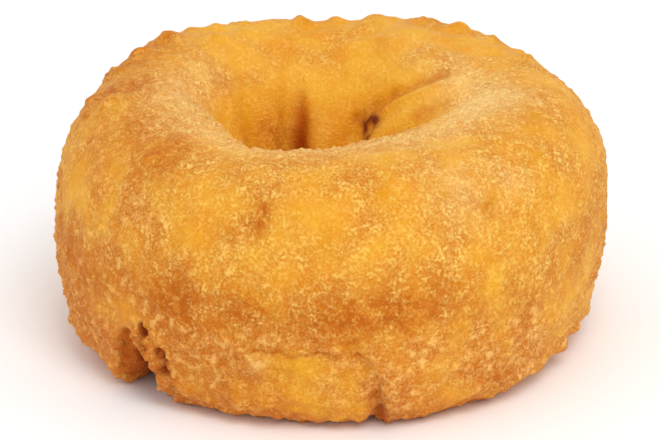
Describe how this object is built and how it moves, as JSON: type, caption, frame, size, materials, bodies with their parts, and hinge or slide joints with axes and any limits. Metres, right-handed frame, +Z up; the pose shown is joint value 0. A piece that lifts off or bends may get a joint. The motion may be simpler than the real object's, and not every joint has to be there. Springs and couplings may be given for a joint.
{
  "type": "ring doughnut",
  "caption": "Plain fried ring doughnut, unglazed: a fat, slightly lopsided ring of dough with a creased, funnel-shaped hole and a flat foot to rest on.",
  "frame": {"origin": "on the surface the doughnut rests on, under the middle of its bounding box", "axes": "+Z up through the hole, +X to the right and +Y away from the viewer, who faces the side with the torn edge at its left"},
  "size_m": [0.0846, 0.0834, 0.0394],
  "materials": {
    "fried_dough": "rough sandy fried crust, golden with browner patches"
  },
  "bodies": {
    "root": {"ring_doughnut": "fried_dough"}
  },
  "joints": []
}
